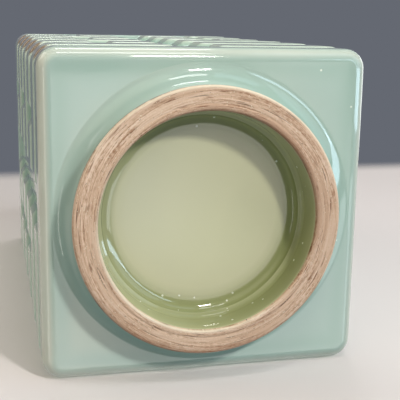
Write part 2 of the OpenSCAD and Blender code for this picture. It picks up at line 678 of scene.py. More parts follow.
@dataclass(frozen=True)
class Marks:
    """Marks in bare clay where streaks pass a level: sharp, or fading in at the rate of a gain."""

    streaks: Streaks
    level: float
    strength: float
    colour: Colour
    gain: float | None = None

    def over(self, graph: Graph, turning: Socket, ground: Socket) -> Socket:
        """Lays the marks over the clay.

        Args:
            graph: The tree.
            turning: Distance and direction from the middle of the foot.
            ground: Colour of the clay.

        Returns:
            The colour with the marks.
        """
        value = self.streaks.value(graph, turning)
        if self.gain is None:
            shown = graph.math("GREATER_THAN", value, self.level)
        else:
            above = graph.math("SUBTRACT", value, self.level)
            shown = graph.clamp(graph.math("MULTIPLY", above, self.gain))
        return graph.mix(graph.math("MULTIPLY", shown, self.strength), ground, self.colour)


@dataclass(frozen=True)
class Biscuit:
    """Bare fired clay of the foot rim: turning streaks, marks, and by the glaze a cream line, brightest on
    its lit side as a painted highlight, or a dark painted shadow line.

    The tone is made of broad bands and of streaks with a grain, which show more in some patches of the rim.
    """

    name: str = "foot_biscuit"
    dark: Colour = linear(160, 116, 84)
    body: Colour = linear(213, 179, 151)
    light: Colour = linear(234, 207, 184)
    cream: Colour = linear(236, 224, 200)
    # Colour of the scorch marks, and of the painted shadow line by the glaze.
    scorch_and_shadow: Colour = linear(132, 88, 56)
    iron: Colour = linear(70, 48, 34)
    tones: tuple[float, float, float] = (0.34, 0.5, 0.66)
    bands: Streaks = Streaks(0.6, 1.1, 2.0)
    band_gain: float = 0.3
    band_level: float = 0.35
    streaks: Streaks = Streaks(2.2, 3.2, 3.0)
    streak_gain: float = 0.55
    grain: Streaks = Streaks(2.6, 30.0, 2.0)
    grain_gain: float = 0.35
    streak_level: float = -0.45
    patches: Streaks = Streaks(0.25, 2.6, 1.0)
    patch_gain: float = 3.4
    patch_level: float = -0.85
    marks: tuple[Marks, ...] = (Marks(Streaks(0.9, 5.0, 2.5), 0.6, 1.0, scorch_and_shadow, gain=7.0),
                                Marks(Streaks(2.6, 26.0, 1.0), 0.745, 0.75, iron),
                                Marks(Streaks(1.3, 3.0, 1.5), 0.66, 0.7, iron, gain=14.0),
                                Marks(Streaks(2.2, 60.0, 1.0), 0.7, 0.7, cream))
    roughness: float = 0.72
    grit_scale: float = 1300.0
    grit_detail: float = 2.0
    streak_height: float = 1.2
    relief: float = 0.0001
    relief_strength: float = 0.8

    def material(self) -> bpy.types.Material:
        """Makes the material.

        Returns:
            The material.
        """
        material, graph = new_material(self.name)
        place = graph.add("TexCoord").outputs["Object"]
        turning = graph.add("Attribute", attribute_name=TURNING).outputs["Vector"]
        edge = graph.add("Attribute", attribute_name=DEPTH_AND_SHADING).outputs["Fac"]
        bands = self.bands.value(graph, turning)
        band = graph.math("MULTIPLY_ADD", bands, self.band_gain, self.band_level)
        grains = self.grain.value(graph, turning)
        grain = graph.math("MULTIPLY_ADD", grains, self.grain_gain, self.streak_level)
        streaks = self.streaks.value(graph, turning)
        streak = graph.math("MULTIPLY_ADD", streaks, self.streak_gain, grain)
        patches = self.patches.value(graph, turning)
        patch = graph.math("MULTIPLY_ADD", patches, self.patch_gain, self.patch_level)
        tone = graph.math("ADD", band, graph.math("MULTIPLY", streak, patch))
        colour = graph.ramp(tone, list(zip(self.tones, (self.dark, self.body, self.light))))
        for marks in self.marks:
            colour = marks.over(graph, turning, colour)
        # On bare clay the depth attribute holds the edge tone: above 0 a cream line, brightest on its lit
        # side as a painted highlight; below 0 a dark painted shadow line, and the side of the rim drawn
        # darker.
        pale = graph.mix(graph.clamp(edge), colour, self.cream)
        shadow_lined = graph.mix(graph.clamp(graph.math("MULTIPLY", edge, -1.0)), pale, self.scorch_and_shadow)
        grit = graph.noise(place, self.grit_scale, self.grit_detail)
        height = graph.math("MULTIPLY_ADD", streak, self.streak_height, grit)
        bump = graph.add("Bump", {"Height": height, "Distance": self.relief,
                                  "Strength": self.relief_strength})
        graph.fired(shadow_lined, self.roughness, bump)
        return material


@dataclass(frozen=True)
class Finishes:
    """The finishes of the vase, each made once."""

    celadon: bpy.types.Material
    relief: bpy.types.Material
    recess: bpy.types.Material
    biscuit: bpy.types.Material
    inner: bpy.types.Material

    @classmethod
    def fire(cls) -> Finishes:
        """Makes every finish.

        Returns:
            The finishes.
        """
        return cls(
            celadon=Glaze("celadon_glaze", linear(211, 213, 198), linear(175, 195, 184),
                          linear(126, 166, 147)).material(),
            relief=Glaze("relief_glaze", linear(206, 216, 201), linear(178, 197, 182),
                         linear(126, 168, 150)).material(),
            recess=Glaze("recess_glaze", linear(203, 202, 173), linear(191, 190, 152), linear(112, 122, 64),
                         cloud=0.1).material(),
            biscuit=Biscuit().material(),
            inner=Glaze("inner_glaze", linear(206, 214, 202), linear(186, 200, 184),
                        linear(150, 174, 156)).material(),
        )


def make_piece(name: str, lofts: list[Loft], finishes: list[bpy.types.Material]) -> None:
    """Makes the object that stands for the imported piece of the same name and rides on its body.

    Args:
        name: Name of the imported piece.
        lofts: Closed skins that make up the piece.
        finishes: Materials, in the order of the numbers in the skins.
    """
    faces: list[list[int]] = []
    finish: list[int] = []
    first = 0
    for loft in lofts:
        more_faces, more_finish = loft.faces(first)
        faces += more_faces
        finish += more_finish
        first += loft.points[..., 0].size
    points = np.concatenate([loft.points.reshape(-1, 3) for loft in lofts]) * MM
    normals = np.concatenate([loft.normals.reshape(-1, 3) for loft in lofts])
    depth = np.concatenate([loft.spread(loft.depth).reshape(-1) for loft in lofts])
    mesh = bpy.data.meshes.new(name)
    mesh.from_pydata(points.tolist(), [], faces)
    mesh.polygons.foreach_set("material_index", finish)
    for material in finishes:
        mesh.materials.append(material)
    mesh.shade_smooth()
    mesh.attributes.new(DEPTH_AND_SHADING, "FLOAT", "POINT").data.foreach_set("value", depth.astype(np.float32))
    across = points[:, :2] / MM
    radius = np.linalg.norm(across, axis=1, keepdims=True)
    turning = np.hstack([radius, across / np.maximum(radius, MM)]).astype(np.float32)
    mesh.attributes.new(TURNING, "FLOAT_VECTOR", "POINT").data.foreach_set("vector", turning.ravel())
    mesh.normals_split_custom_set_from_vertices(normals.tolist())
    mesh.update()
    piece = bpy.data.objects.new(f"{name}_glazed", mesh)
    bpy.context.scene.collection.objects.link(piece)
    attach(piece, BODY)
    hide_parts(name)
    LOG.info("%s: %d points, %d faces", piece.name, len(points), len(faces))


@dataclass(frozen=True)
class Piece:
    """What every piece of the vase is made with: the sizes of the body, the unevenness and the finishes."""

    body: Body
    form: HandForming
    finishes: Finishes


@dataclass(frozen=True)
class Accent:
    """A place on a profile where the glaze is thinner, or deeper, than elsewhere."""

    mark: str
    width: float
    amount: float


def glaze_depth(profile: Profile, along: Array, accents: Sequence[Accent]) -> Array:
    """Works out how deep the glaze lies along a profile.

    Args:
        profile: The profile, with the marks that the accents name.
        along: Lengths along it.
        accents: Where the glaze is thinner or deeper.

    Returns:
        The depth at those lengths.
    """
    depth = np.full_like(along, EVEN)
    for accent in accents:
        depth += accent.amount * bell(along - profile.marks[accent.mark], accent.width)
    return np.clip(depth, THINNEST, DEEPEST)


@dataclass(frozen=True)
class Thrown(Piece):
    """A piece thrown on the wheel: a half section swept right round, a little sunk in its slab."""

    sunk: float = 0.3
    segments: int = 160

    @property
    def angles(self) -> Array:
        """Directions from the middle in which every ring has a point, in radians."""
        return np.linspace(0.0, 2 * math.pi, self.segments, endpoint=False)

    def toward(self, degrees: float) -> Array:
        """How far every direction of a ring points the given way, from 1 down to -1."""
        return np.cos(self.angles - math.radians(degrees))

    def swept(self, profile: Profile, along: Array, angle: Array) -> Array:
        """Points of the swept section, at lengths along it and in directions from the middle."""
        radius, height = profile.at(along)
        return self.form(radius * np.cos(angle), radius * np.sin(angle), height)

    def loft(self, profile: Profile, rows: Array, depth: Array, finish: Array) -> Loft:
        """Lays the skin of the piece.

        Args:
            profile: Half section, in radius and height.
            rows: Lengths along the section at which a ring of points lies.
            depth: Depth of the glaze on each row, or on each point.
            finish: Number of the finish from each row on.

        Returns:
            The closed skin.
        """
        points, normals = sample(partial(self.swept, profile), rows, self.angles, SECTION_STEP, TURN_STEP)
        return Loft(points, normals, depth.reshape(len(rows), -1), finish[:, None], ring=True)


@dataclass(frozen=True)
class Groove:
    """A turning groove in the rim: the radius that it runs at, half its width, and its depth."""

    radius: float
    half_w: float
    depth: float


@dataclass(frozen=True)
class FootRing(Thrown):
    """The thrown foot ring: a wide flare off the base, a bare rim, and a glazed bore that ends in a ledge.

    Each edge of the rim has a cream line, brightest towards its lit side as a painted highlight and dark on
    its shaded side as a painted shadow line, and the whole rim is drawn a little darker on one side. The
    glaze of the bore is drawn deeper towards one angle and thinner opposite: a painted shade on the lit
    bottom of the bore and a painted light on its shaded top. The glaze of the flare is drawn deeper towards
    the same angle.
    """

    segments: int = 224
    spacing: Spacing = Spacing(0.7, 0.14, 1.6)
    outer_r: float = 52.5
    flare: float = 8.5
    flare_lift: float = 0.03
    rim_outer_r: float = 53.1
    rim_r: float = 1.1
    bore_r: float = 43.4
    bore_end_r: float = 42.58
    bore_end: float = 3.0
    outer_glaze_z: float = 2.1
    inner_glaze_z: float = 1.7
    ledge_r: float = 2.4
    ledge_drop: float = 2.5
    ledge_turn: float = 55.0
    ledge_edge_r: float = 40.7
    ledge_lift: float = 0.05
    back_w: float = 0.3
    grooves: tuple[Groove, ...] = (Groove(50.6, 0.6, 0.12), Groove(49.0, 0.8, 0.16),
                                   Groove(46.3, 0.5, 0.12))
    accents: tuple[Accent, ...] = (Accent("flare", 4.5, 0.16), Accent("outer_glaze", 2.0, -0.45),
                                   Accent("inner_glaze", 0.8, -0.3), Accent("bore", 6.0, 0.1),
                                   Accent("ledge", 2.2, 0.1))
    # The rim edges' lit angles and the shares and widths of their cream line: its brightening on the lit
    # side is a painted highlight, its dark side a painted shadow line.
    outer_lit: float = -70.0
    inner_lit: float = 125.0
    even_tone: float = 0.1
    lit_tone: float = 0.75
    cream_w: float = 0.7
    shadow_line_w: float = 2.0
    # The whole rim is drawn darker towards this angle, by this much.
    darkening_turn: float = 0.0
    darkening: float = 0.13
    # The glaze of the bore is drawn deeper towards this angle: a painted shade on the lit bottom of the bore
    # and a painted light on its shaded top. The flare is drawn deeper towards it as well.
    shade_turn: float = 45.0
    bore_shade: float = 0.25
    bore_shade_w: float = 9.0
    flare_lean: float = 0.1

    def profile(self) -> Profile:
        """Draws the half section, from the edge of the flare by the rim to the top of the bore.

        Returns:
            The section, marked where its glaze changes.
        """
        base_z = self.body.base_z
        top = base_z + self.sunk
        edge_r = self.outer_r + self.flare
        run = Profile(edge_r + self.sunk, top).line(edge_r + self.sunk, base_z + self.flare_lift)
        run.bend((edge_r, base_z - self.flare), self.flare, 90, 180, "flare")
        run.line(self.rim_outer_r, self.outer_glaze_z).mark("outer_glaze")
        run.bend((self.rim_outer_r - self.rim_r, self.rim_r), self.rim_r, 0, -90, "rim_out")
        for groove in self.grooves:
            run.line(groove.radius + groove.half_w, 0.0)
            run.arc((groove.radius, 0.0), (groove.half_w, groove.depth), 0, 180)
        run.bend((self.bore_r + self.rim_r, self.rim_r), self.rim_r, -90, -180, "rim_in")
        run.line(self.bore_r, self.inner_glaze_z).mark("inner_glaze")
        run.line(self.bore_end_r, base_z - self.bore_end).mark("bore")
        ledge = (self.bore_end_r - self.ledge_r, base_z - self.ledge_drop)
        run.arc(ledge, (self.ledge_r, self.ledge_r), 0, self.ledge_turn).mark("ledge")
        run.line(self.ledge_edge_r, base_z + self.ledge_lift)
        return run.line(self.ledge_edge_r + self.back_w, top)

    def edge_tone(self, off: Array, pale: float) -> Array:
        """Works out the cream line by an edge of the rim (above 0), brightest on its lit side as a painted
        highlight, and the dark painted shadow line (below 0).

        Args:
            off: Distances from the edge.
            pale: The angle of the lit side, towards which the edge is palest.

        Returns:
            A number for each distance and direction.
        """
        tone = self.even_tone + self.lit_tone * self.toward(pale)
        cream = np.outer(bell(off, self.cream_w), np.maximum(tone, 0.0))
        return cream + np.outer(bell(off, self.shadow_line_w), np.minimum(tone, 0.0))

    def build(self) -> None:
        """Makes the foot ring."""
        profile = self.profile()
        marks = profile.marks
        bends = [marks[name] for name in ("outer_glaze", "inner_glaze", "rim_out", "rim_in", "ledge")]
        rows = self.spacing.lines(0.0, profile.length, bends)
        # Tone of the bare rim: a cream line by each edge, brightened on its lit side (painted highlight) and
        # dark on its shaded side (painted shadow line).
        clay = self.edge_tone(rows - marks["rim_out"], self.outer_lit)
        clay += self.edge_tone(rows - marks["rim_in"], self.inner_lit)
        # The whole rim is drawn darker towards one side.
        clay -= self.darkening * np.maximum(self.toward(self.darkening_turn), 0.0)
        # Glaze drawn deeper towards one angle: a painted shade on the lit bottom of the bore, a painted
        # light on its shaded top; the flare leans the same way.
        bore_middle = (marks["inner_glaze"] + marks["bore"]) / 2
        runs = self.bore_shade * bell(rows - bore_middle, self.bore_shade_w)
        runs += self.flare_lean * bell(rows - marks["flare"], self.flare)
        glaze = glaze_depth(profile, rows, self.accents)[:, None]
        glaze = glaze + np.outer(runs, self.toward(self.shade_turn))
        bare = (rows >= marks["outer_glaze"]) & (rows < marks["inner_glaze"])
        finish = np.where(rows < marks["outer_glaze"], 0, np.where(bare, 1, 2))
        loft = self.loft(profile, rows, np.where(bare[:, None], clay, glaze), finish)
        dress = [self.finishes.celadon, self.finishes.biscuit, self.finishes.recess]
        make_piece("foot_ring", [loft], dress)


@dataclass(frozen=True)
class Neck(Thrown):
    """The thrown neck, with a full round lip and a flare on to the shoulder."""

    spacing: Spacing = Spacing(1.5, 0.3, 4.0)
    outer_r: float = 44.0
    wall: float = 6.0
    flare: float = 6.0
    flare_drop: float = 0.04
    accents: tuple[Accent, ...] = (Accent("lip", 2.2, -0.4), Accent("flare", 3.0, 0.16))

    def build(self) -> None:
        """Makes the neck."""
        top_z = self.body.top_z
        lip_r = self.wall / 2
        edge_r = self.outer_r + self.flare
        run = Profile(self.outer_r - self.wall, top_z - self.sunk)
        run.bend((self.outer_r - lip_r, self.body.total_h - lip_r), lip_r, 180, 0, "lip")
        run.bend((edge_r, top_z + self.flare), self.flare, 180, 270, "flare")
        run.line(edge_r + self.sunk, top_z - self.flare_drop).mark("flare_edge")
        run.line(edge_r, top_z - self.sunk)
        rows = self.spacing.lines(0.0, run.length, list(run.marks.values()))
        finish = np.where(rows < run.marks["lip"], 1, 0)
        loft = self.loft(run, rows, glaze_depth(run, rows, self.accents), finish)
        make_piece("neck", [loft], [self.finishes.celadon, self.finishes.inner])


@dataclass(frozen=True)
class SquareSlab(Piece):
    """A square slab with rounded edges, drawn in rings that pass from its round opening to its outline."""

    round_r: float = 44.0
    corner_in: float = 2.5
    loop_spacing: Spacing = Spacing(4.0, 0.8, 3.0)
    row_spacing: Spacing = Spacing(3.0, 0.35, 3.0)

    @property
    def flat(self) -> float:
        """Half the width of the flat face within the rounded edge."""
        return self.body.half_w - self.body.edge_r

    def loop(self) -> Array:
        """Spaces the points of every ring.

        Returns:
            Distances along the outline.
        """
        quarter = self.body.quarter
        bend = self.body.leg + self.corner_in
        one_side = self.loop_spacing.lines(-quarter / 2, quarter / 2, [-bend, bend])
        return np.concatenate([one_side[:-1] + side.value * quarter for side in Side])

    def swept(self, profile: Profile, along: Array, around: Array) -> Array:
        """Sweeps a half section round the slab.

        Args:
            profile: The section.
            along: Lengths along it.
            around: Distances along the outline of the body.

        Returns:
            The points.
        """
        radius, height = profile.at(along)
        square_x, square_y = self.body.outline(around, np.maximum(radius, self.flat) - self.body.half_w)
        shrink = np.minimum(radius, self.flat) / self.flat
        angle = np.arctan2(square_y, square_x)
        share = ease((radius - self.round_r) / (self.flat - self.round_r))
        x = share * square_x * shrink + (1 - share) * radius * np.cos(angle)
        y = share * square_y * shrink + (1 - share) * radius * np.sin(angle)
        return self.form(x, y, height)

    def loft(self, profile: Profile, accents: Sequence[Accent], change: str, ring: bool) -> Loft:
        """Lays the skin of the slab.

        Args:
            profile: Half section, in radius and height.
            accents: Where the glaze is thin or deep.
            change: Mark at which the second finish starts.
            ring: True for a slab with an opening right through.

        Returns:
            The closed skin.
        """
        rows = self.row_spacing.lines(0.0, profile.length, list(profile.marks.values()))
        swept = partial(self.swept, profile)
        points, normals = sample(swept, rows, self.loop(), SECTION_STEP, OUTLINE_STEP)
        depth = glaze_depth(profile, rows, accents)
        finish = (rows >= profile.marks[change]).astype(int)
        return Loft(points, normals, depth[:, None], finish[:, None], ring)


@dataclass(frozen=True)
class ToneSpot:
    """A round place on the base where the glaze is drawn deeper and darker (amount above 0) or thinner and
    paler (below 0).
    """

    x: float
    y: float
    radius: float
    amount: float

    def depth(self, points: Array) -> Array:
        """How much deeper the glaze is at the points."""
        return self.amount * bell(np.hypot(points[..., 0] - self.x, points[..., 1] - self.y), self.radius)


@dataclass(frozen=True)
class BaseSlab(SquareSlab):
    """The base slab, with the dish of the recess inside the foot, glaze run thin on its left edge, and round
    spots of glaze drawn deeper or thinner as painted shade and light.
    """

    floor_r: float = 35.0
    dish: float = 3.5
    dish_w: float = 5.5
    dish_start: float = 12.0
    dish_bend: float = 60.0
    lip_r: float = 0.7
    pole_r: float = 1.5
    beside: float = 2.5
    accents: tuple[Accent, ...] = (Accent("edge", 2.4, -0.22), Accent("beside_edge", 3.0, 0.12),
                                   Accent("dish", 3.2, 0.3), Accent("lip", 3.0, 0.3))
    left_thin: float = 0.3
    # Glaze drawn thinner on the left of the recess floor is a painted light, and deeper on its right a
    # painted shade; thinner glaze at the lower left of the base is a painted light over the foot's shadow;
    # the top right corner is drawn a little darker.
    pools: tuple[ToneSpot, ...] = (ToneSpot(-58.0, 50.0, 30.0, -0.16), ToneSpot(30.0, 4.0, 22.0, 0.08),
                               ToneSpot(-28.0, -8.0, 26.0, -0.17), ToneSpot(56.0, -52.0, 16.0, 0.05))

    def build(self) -> None:
        """Makes the base slab."""
        body = self.body
        base_z = body.base_z
        lip_r = self.floor_r + self.dish_w + self.lip_r
        dish = ((self.floor_r, base_z), (self.dish_w, self.dish))
        run = Profile(self.pole_r, body.base_top_z).line(body.half_w, body.base_top_z)
        run.bend((self.flat, base_z + body.edge_r), body.edge_r, 0, -90, "edge")
        run.line(self.flat - self.beside, base_z).mark("beside_edge").line(lip_r, base_z).mark("lip")
        run.arc((lip_r, base_z + self.lip_r), (self.lip_r, self.lip_r), -90, -180)
        run.arc(*dish, self.dish_start, self.dish_bend).mark("dish")
        run.arc(*dish, self.dish_bend, 90).line(self.pole_r, base_z + self.dish)
        loft = self.loft(run, self.accents, "lip", ring=False)
        thinner = self.left_thin * ease((-loft.points[..., 0] - self.flat) / body.edge_r)
        # Painted light and shade: glaze drawn thinner or deeper in round spots.
        deeper = sum(pool.depth(loft.points) for pool in self.pools)
        loft = replace(loft, depth=np.maximum(loft.depth + deeper - thinner, THINNEST))
        make_piece("base_slab", [loft], [self.finishes.celadon, self.finishes.recess])


@dataclass(frozen=True)
class ShoulderSlab(SquareSlab):
    """The shoulder slab, with the round opening under the neck."""

    opening_r: float = 38.0
    back_h: float = 0.1
    accents: tuple[Accent, ...] = (Accent("edge", 2.6, -0.28),)

    def build(self) -> None:
        """Makes the shoulder slab."""
        body = self.body
        run = Profile(body.half_w, body.shoulder_z).line(self.opening_r, body.shoulder_z).mark("under")
        run.line(self.opening_r, body.top_z).mark("opening")
        run.bend((self.flat, body.top_z - body.edge_r), body.edge_r, 90, 0, "edge")
        run.line(body.half_w, body.shoulder_z + self.back_h)
        loft = self.loft(run, self.accents, "opening", ring=True)
        make_piece("shoulder_slab", [loft], [self.finishes.inner, self.finishes.celadon])


@dataclass(frozen=True)
class Bar:
    """One raised stretch of a trigram bar: its start and end along the outline, and its middle height."""

    start: float
    end: float
    height: float


@dataclass(frozen=True)
class Relief:
    """The sunk field of the walls, the trigram bars that stand on it, and the glaze that flows off both."""

    body: Body
    border_h: float = 17.0
    field_depth: float = 2.2
    proud: float = 0.35
    bar_h: float = 20.0
    border_gap: float = 4.0
    tier_gap: float = 3.0
    channel_w: float = 20.0
    break_w: float = 8.0
    end_slope: float = 2.6
    end_ease: float = 1.7
    plan_r: float = 2.6
    fillet: float = 1.5
    shoulder: float = 1.9
    flow: float = 2.2
    flow_gain: float = 1.2
    flow_most: float = 0.4
    wear: float = 0.5
    wear_w: float = 4.0
    bars: dict[tuple[Corner, Tier], list[Bar]] = field(default_factory=dict)

    @property
    def field_z(self) -> tuple[float, float]:
        """Heights of the two ends of the sunk field."""
        return self.body.base_z + self.border_h, self.body.top_z - self.border_h

    def bar_heights(self) -> list[float]:
        """Spaces the bars, with a wider gap between the tiers.

        Returns:
            Their middle heights, from the foot up.
        """
        count = len(Tier) * len(Trigram.FIRE.value)
        low, high = self.field_z
        first = low + self.border_gap + self.bar_h / 2
        last = high - self.border_gap - self.bar_h / 2
        pitch = (last - first - self.tier_gap) / (count - 1)
        return [first + i * pitch + (self.tier_gap if i >= count // 2 else 0.0) for i in range(count)]

    def lay(self, corner: Corner, tier: Tier, trigram: Trigram) -> None:
        """Notes the bars of one trigram, whole or broken.

        Args:
            corner: The corner that it wraps.
            tier: The tier that it is in.
            trigram: The trigram.
        """
        middle = self.body.corner_at(corner)
        half_arc = self.body.corner_r * math.pi / 4
        slope = self.end_slope / 2
        end = half_arc + self.body.leg - self.channel_w / 2
        gap = half_arc + self.body.leg / 2 - self.channel_w / 4
        inner, outer = gap - self.break_w / 2, gap + self.break_w / 2
        heights = self.bar_heights()[tier.value * len(trigram.value):]
        bars: list[Bar] = []
        for whole, height in zip(trigram.value, heights):
            if whole:
                bars.append(Bar(middle - end - slope, middle + end + slope, height))
                continue
            bars.append(Bar(middle - inner - slope, middle + inner + slope, height))
            bars.append(Bar(middle - end - slope, middle - outer + slope, height))
            bars.append(Bar(middle + outer - slope, middle + end + slope, height))
        self.bars[corner, tier] = bars

    def inside(self, bar: Bar, along: Array, height: Array) -> Array:
        """Measures how far points lie inside the rounded outline of a bar, its ends stretched softly.

        Args:
            bar: The bar.
            along: Distances along the outline of the body.
            height: Heights of the points.

        Returns:
            The distances in from the outline of the bar, negative outside it.
        """
        half = (bar.end - bar.start) / 2
        past_end = (np.abs(along - (bar.start + bar.end) / 2) - half) / self.end_ease + self.plan_r
        past_edge = np.abs(height - bar.height) - self.bar_h / 2 + self.plan_r
        outside = np.hypot(np.maximum(past_end, 0.0), np.maximum(past_edge, 0.0))
        return self.plan_r - outside - np.minimum(np.maximum(past_end, past_edge), 0.0)

    def rise(self, inside: Array, flow: float = 0.0) -> Array:
        """Share of a bar's height at a distance in from its outline, spread by the flow of the glaze."""
        return ease((inside + self.fillet + flow) / (self.fillet + self.shoulder + 2 * flow))

    def ground(self, height: Array, flow: float = 0.0) -> Array:
        """Works out how far the wall lies from the outline of the body.

        Args:
            height: Heights of the points.
            flow: How far the flow of the glaze spreads the steps at the borders.

        Returns:
            The offsets: nothing on the borders, the depth of the field between them.
        """
        low, high = self.field_z
        width = self.fillet + self.shoulder + 2 * flow
        start = self.shoulder / 2 + flow
        up = ease((height - low + start) / width)
        down = ease((high - height + start) / width)
        return -self.field_depth * up * down

    def laid(self, shift: Array, along: Array) -> Array:
        """Works out how deep the glaze lies.

        Args:
            shift: How much higher the flowed glaze stands than the clay, as a share of the relief.
            along: Distances along the outline of the body.

        Returns:
            The depth: deep in the grooves, thin on the edges, worn along the front-left corner.
        """
        flowed = EVEN + self.flow_gain * np.clip(shift, -self.flow_most, self.flow_most)
        lap = 4 * self.body.quarter
        off = (along - self.body.corner_at(Corner.FRONT_LEFT) + lap / 2) % lap - lap / 2
        return np.clip(flowed, THINNEST, DEEPEST) - self.wear * bell(off, self.wear_w)

    def wall_depth(self, along: Array, height: Array) -> Array:
        """Works out how deep the glaze lies on the walls.

        Args:
            along: Distances along the outline of the body.
            height: Heights of the points.

        Returns:
            The depth.
        """
        quarter = self.body.quarter
        shift = (self.ground(height, self.flow) - self.ground(height)) / self.field_depth
        for bars in self.bars.values():
            for bar in bars:
                lap = (along - bar.start + quarter) % (4 * quarter) - quarter
                shift = np.maximum(shift, self.rise(self.inside(bar, bar.start + lap, height), self.flow))
        return self.laid(shift, along)


@dataclass(frozen=True)
class Walls(Piece):
    """The four mitred wall slabs, each with its field sunk between two borders."""

    relief: Relief
    corner_in: float = 3.0
    row_spacing: Spacing = Spacing(3.0, 0.5, 3.0)
    loop_spacing: Spacing = Spacing(3.0, 0.8, 5.0)

    def outside(self, height: Array, along: Array) -> Array:
        """Points of the outer faces, at heights and at distances along the outline."""
        x, y = self.body.outline(along, self.relief.ground(height))
        return self.form(x, y, height)

    def inside(self, side: Side, height: Array, along: Array) -> Array:
        """Places points on the flat inner face of a wall.

        Args:
            side: The side that the wall is on.
            height: Heights of the points.
            along: Distances along the outline of the body, which the shorter inner face is shared out by.

        Returns:
            The points.
        """
        half = self.body.quarter / 2
        across = (along - side.value * self.body.quarter) / half * self.body.inner_half
        x, y = turned(across, -self.body.inner_half, side.value)
        return self.form(x, y, height)

    def build(self, side: Side) -> None:
        """Makes the wall of one side.

        Args:
            side: The side.
        """
        body, relief = self.body, self.relief
        edges = [z + s * relief.bar_h / 2 for z in relief.bar_heights() for s in (-1, 1)]
        rows = self.row_spacing.lines(body.base_top_z, body.shoulder_z, [*relief.field_z, *edges])[::-1]
        bends = (relief.channel_w / 2, body.leg / 2 + relief.channel_w / 4, body.leg + self.corner_in)
        both = [s * bend for s in (-1, 1) for bend in bends]
        half = body.quarter / 2
        loop = side.value * body.quarter + self.loop_spacing.lines(-half, half, both)
        points, normals = sample(self.outside, rows, loop, -OUTLINE_STEP, OUTLINE_STEP)
        back, back_normals = sample(partial(self.inside, side), rows, loop, -OUTLINE_STEP, OUTLINE_STEP)
        height, along = np.meshgrid(rows, loop, indexing="ij")
        depth = relief.wall_depth(along, height)
        loft = Loft(np.hstack((points, back[:, ::-1])), np.hstack((normals, -back_normals[:, ::-1])),
                    np.hstack((depth, np.full_like(depth, EVEN))), np.repeat((0, 1), len(loop)), ring=False)
        dress = [self.finishes.celadon, self.finishes.inner]
        make_piece(f"{side.name.lower()}_wall", [loft], dress)


@dataclass(frozen=True)
class Trigrams(Piece):
    """The eight trigrams of raised bars that wrap the corners. The hem of a bar sinks into the wall."""

    relief: Relief
    hem: float = 0.5
    sunk: float = 0.14
    sink_from: float = 0.55
    back: float = 0.6
    row_spacing: Spacing = Spacing(5.0, 0.7, 5.2)
    across_spacing: Spacing = Spacing(3.5, 0.36, 2.2)

    def face(self, bar: Bar, along: Array, up: Array) -> Array:
        """Places points on the outer face of a bar.

        Args:
            bar: The bar.
            along: Distances along the outline of the body.
            up: Heights above the middle of the bar.

        Returns:
            The points.
        """
        relief = self.relief
        inside = relief.inside(bar, along, bar.height + up)
        sink_w = relief.fillet * (1 - self.sink_from)
        sink = self.sunk * ease((-inside - relief.fillet * self.sink_from) / sink_w)
        rise = (relief.field_depth + relief.proud) * relief.rise(inside)
        x, y = self.body.outline(along, rise - relief.field_depth - sink)
        return self.form(x, y, bar.height + up)

    def skin(self, bar: Bar) -> Loft:
        """Lays the skin of one stretch of bar, its face from hem to hem and a back behind the ground.

        Args:
            bar: The bar.

        Returns:
            The closed skin.
        """
        relief = self.relief
        margin = relief.fillet + self.hem
        corner = round(bar.start / self.body.quarter + 0.5)
        middle = (corner - 0.5) * self.body.quarter
        if not bar.start < middle < bar.end:
            middle = bar.start
        long_margin = margin * relief.end_ease
        rows = self.row_spacing.lines(bar.start - long_margin, bar.end + long_margin,
                                      [bar.start, bar.end, middle])
        half = relief.bar_h / 2
        across = self.across_spacing.lines(-half - margin, half + margin, [-half, half])
        points, normals = sample(partial(self.face, bar), rows, across, OUTLINE_STEP, OUTLINE_STEP)
        along, up = np.meshgrid(rows, across, indexing="ij")
        inside = relief.inside(bar, along, bar.height + up)
        depth = relief.laid(relief.rise(inside, relief.flow) - relief.rise(inside), along)
        hems = [-1, 0]
        x, y = self.body.outline(along[:, hems], -relief.field_depth - self.sunk - self.back)
        behind = self.form(x, y, bar.height + up[:, hems])
        return Loft(np.hstack((points, behind)), np.hstack((normals, normals[:, hems])),
                    np.hstack((depth, depth[:, hems])), np.array(0), ring=False)

    def build(self, corner: Corner, tier: Tier) -> None:
        """Makes the trigram of one corner and tier.

        Args:
            corner: The corner that it wraps.
            tier: The tier that it is in.
        """
        lofts = [self.skin(bar) for bar in self.relief.bars[corner, tier]]
        name = f"{corner.name.lower()}_{tier.name.lower()}_trigram"
        make_piece(name, lofts, [self.finishes.relief])


